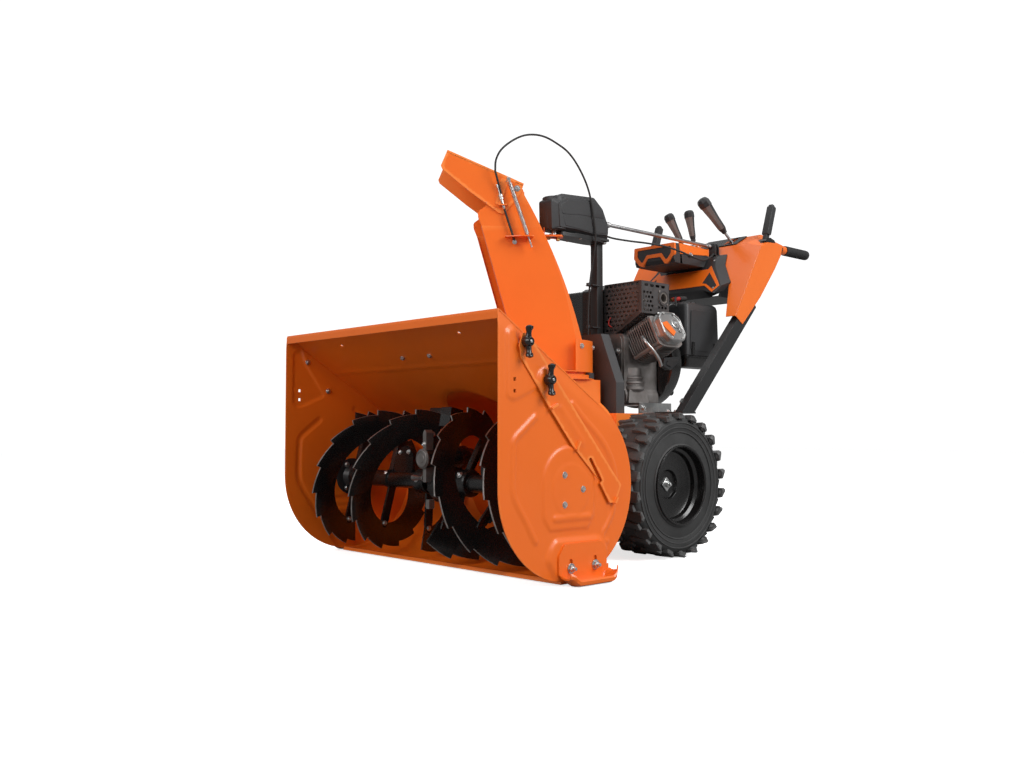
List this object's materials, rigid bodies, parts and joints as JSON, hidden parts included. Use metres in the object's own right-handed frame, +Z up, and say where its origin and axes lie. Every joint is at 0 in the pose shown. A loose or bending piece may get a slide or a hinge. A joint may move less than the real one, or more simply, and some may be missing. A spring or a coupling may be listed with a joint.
{
  "type": "two stage snowblower",
  "caption": "Walk-behind two stage snowblower: wide auger housing, tall discharge chute with deflector, engine, chunky wheels, handlebars and control dash.",
  "frame": {"origin": "on the ground, under the middle of the whole machine's box", "axes": "+Z up, -Y out of the housing mouth, +Y towards the handles, +X to the operator's left"},
  "size_m": [1.02, 1.648, 1.237],
  "materials": {
    "orange_paint": "gloss powder coat",
    "black_paint": "semi-gloss powder coat",
    "bright_steel": "zinc plated",
    "cast_aluminium": "die cast",
    "exhaust_steel": "heat darkened",
    "black_plastic": "moulded, fine grain",
    "black_rubber": "matte",
    "tyre_rubber": "matte moulded"
  },
  "bodies": {
    "machine": {"side_plate_left": "orange_paint", "side_plate_right": "orange_paint", "housing_shell": "orange_paint", "impeller_drum": "orange_paint", "chute_base": "orange_paint", "chute_retainers": "black_plastic", "scraper_blade": "orange_paint", "skid_shoes": "orange_paint", "housing_fasteners": "bright_steel", "drift_cutters": "orange_paint", "shaft_bearings": "black_paint", "gear_case": "black_paint", "tractor_frame": "orange_paint", "engine_plate": "bright_steel", "transaxle": "cast_aluminium", "belt_cover": "black_paint", "drive_belts": "black_rubber", "crankcase": "cast_aluminium", "cylinder": "cast_aluminium", "valve_cover": "cast_aluminium", "muffler": "exhaust_steel", "muffler_guard": "black_paint", "recoil_housing": "black_paint", "air_box": "black_plastic", "fuel_tank": "black_plastic", "chute_post": "black_paint", "chute_drive_housing": "black_plastic", "handlebars": "black_paint", "dash_panel": "orange_paint", "dash_front": "black_plastic", "headlight": "black_plastic", "handle_grips": "black_rubber", "control_cables": "black_rubber"},
    "auger": {"auger_shaft": "bright_steel", "auger_left": "black_paint", "auger_right": "black_paint"},
    "impeller_assembly": {"impeller": "orange_paint", "impeller_shaft": "bright_steel"},
    "crank": {"crankshaft": "bright_steel"},
    "traction_input": {"traction_pulley": "bright_steel"},
    "wheel_left": {"tyre_left": "tyre_rubber", "rim_left": "black_paint"},
    "wheel_right": {"tyre_right": "tyre_rubber", "rim_right": "black_paint"},
    "chute_body": {"chute": "orange_paint"},
    "deflector_body": {"deflector": "orange_paint"},
    "spring_rod": {"deflector_rod": "bright_steel", "deflector_spring": "bright_steel"},
    "chute_rod_body": {"chute_rod": "bright_steel"},
    "clutch_left": {"clutch_lever_left": "black_plastic"},
    "clutch_right": {"clutch_lever_right": "black_plastic"},
    "speed_control": {"speed_lever": "black_plastic"},
    "chute_control": {"chute_lever": "black_plastic"},
    "deflector_control": {"deflector_lever": "black_plastic"},
    "starter_pull": {"recoil_handle": "black_plastic"},
    "tank_cap": {"fuel_cap": "black_plastic"},
    "knob_1": {"upper_knob_left": "black_plastic"},
    "knob_2": {"lower_knob_left": "black_plastic"},
    "knob_3": {"upper_knob_right": "black_plastic"},
    "knob_4": {"lower_knob_right": "black_plastic"}
  },
  "joints": [
    {"name": "auger_spin", "type": "hinge", "parent": "machine", "child": "auger", "pos_m": [0, -0.599, 0.22], "axis": [1, 0, 0], "continuous": true},
    {"name": "impeller_spin", "type": "hinge", "parent": "machine", "child": "impeller_assembly", "pos_m": [0, -0.264, 0.284], "axis": [0, 1, 0], "continuous": true},
    {"name": "crank_spin", "type": "hinge", "parent": "machine", "child": "crank", "pos_m": [0, 0.076, 0.574], "axis": [0, 1, 0], "continuous": true},
    {"name": "traction_spin", "type": "hinge", "parent": "machine", "child": "traction_input", "pos_m": [0.095, -0.024, 0.33], "axis": [0, 1, 0], "continuous": true},
    {"name": "wheel_left_spin", "type": "hinge", "parent": "machine", "child": "wheel_left", "pos_m": [0.2695, -0.028, 0.204], "axis": [1, 0, 0], "continuous": true},
    {"name": "wheel_right_spin", "type": "hinge", "parent": "machine", "child": "wheel_right", "pos_m": [-0.2695, -0.028, 0.204], "axis": [1, 0, 0], "continuous": true},
    {"name": "chute_turn", "type": "hinge", "parent": "machine", "child": "chute_body", "pos_m": [0, -0.189, 0.514], "axis": [0, 0, 1], "range_deg": [-59, 131], "deforming": ["control_cables"]},
    {"name": "deflector_tilt", "type": "hinge", "parent": "chute_body", "child": "deflector_body", "pos_m": [-0.07171, -0.2877, 1.058], "axis": [0.809, -0.5878, 0], "range_deg": [0, 55], "deforming": ["deflector_spring"]},
    {"name": "spring_rod_swing", "type": "hinge", "parent": "deflector_body", "child": "spring_rod", "pos_m": [-0.00263, -0.37126, 1.078], "axis": [0.809, -0.5878, 0], "range_deg": [-50, 1]},
    {"name": "chute_rod_spin", "type": "hinge", "parent": "machine", "child": "chute_rod_body", "pos_m": [0.085, 0.508, 0.979], "axis": [0.1493, 0.9876, -0.0491], "range_deg": [-237, 525]},
    {"name": "clutch_left_press", "type": "hinge", "parent": "machine", "child": "clutch_left", "pos_m": [0.24, 0.568, 0.985], "axis": [1, 0, 0], "range_deg": [-40, 0], "stiffness_Nm_per_rad": 0.6, "springref_deg": 14.32},
    {"name": "clutch_right_press", "type": "hinge", "parent": "machine", "child": "clutch_right", "pos_m": [-0.24, 0.568, 0.985], "axis": [1, 0, 0], "range_deg": [-40, 0], "stiffness_Nm_per_rad": 0.6, "springref_deg": 14.32},
    {"name": "speed_lever_move", "type": "hinge", "parent": "machine", "child": "speed_control", "pos_m": [0.126, 0.584, 0.968], "axis": [1, 0, 0], "range_deg": [-52, 0]},
    {"name": "chute_lever_move", "type": "hinge", "parent": "machine", "child": "chute_control", "pos_m": [-0.08, 0.584, 0.968], "axis": [0, 1, 0], "range_deg": [-9, 20]},
    {"name": "deflector_lever_move", "type": "hinge", "parent": "machine", "child": "deflector_control", "pos_m": [-0.052, 0.584, 0.968], "axis": [1, 0, 0], "range_deg": [-34, 1]},
    {"name": "starter_pull_out", "type": "slide", "parent": "machine", "child": "starter_pull", "axis": [-1, 0, 0], "range_m": [0, 0.07], "stiffness_N_per_m": 60, "springref_m": -0.02},
    {"name": "fuel_cap_turn", "type": "hinge", "parent": "machine", "child": "tank_cap", "pos_m": [-0.1, 0.166, 0.82], "axis": [0, 0, 1], "range_deg": [0, 90]},
    {"name": "knob_upper_left_turn", "type": "hinge", "parent": "machine", "child": "knob_1", "pos_m": [0.47, -0.754, 0.557], "axis": [1, 0, 0], "range_deg": [-180, 180]},
    {"name": "knob_lower_left_turn", "type": "hinge", "parent": "machine", "child": "knob_2", "pos_m": [0.47, -0.684, 0.474], "axis": [1, 0, 0], "range_deg": [-180, 180]},
    {"name": "knob_upper_right_turn", "type": "hinge", "parent": "machine", "child": "knob_3", "pos_m": [-0.47, -0.754, 0.557], "axis": [1, 0, 0], "range_deg": [-180, 180]},
    {"name": "knob_lower_right_turn", "type": "hinge", "parent": "machine", "child": "knob_4", "pos_m": [-0.47, -0.684, 0.474], "axis": [1, 0, 0], "range_deg": [-180, 180]}
  ],
  "couplings": [
    {"joint": "impeller_spin", "follows": "auger_spin", "ratio": 10},
    {"joint": "spring_rod_swing", "follows": "deflector_tilt", "ratio": -0.8945},
    {"joint": "deflector_lever_move", "follows": "deflector_tilt", "ratio": -0.6},
    {"joint": "chute_lever_move", "follows": "chute_turn", "ratio": 0.15},
    {"joint": "chute_rod_spin", "follows": "chute_turn", "ratio": 4}
  ]
}
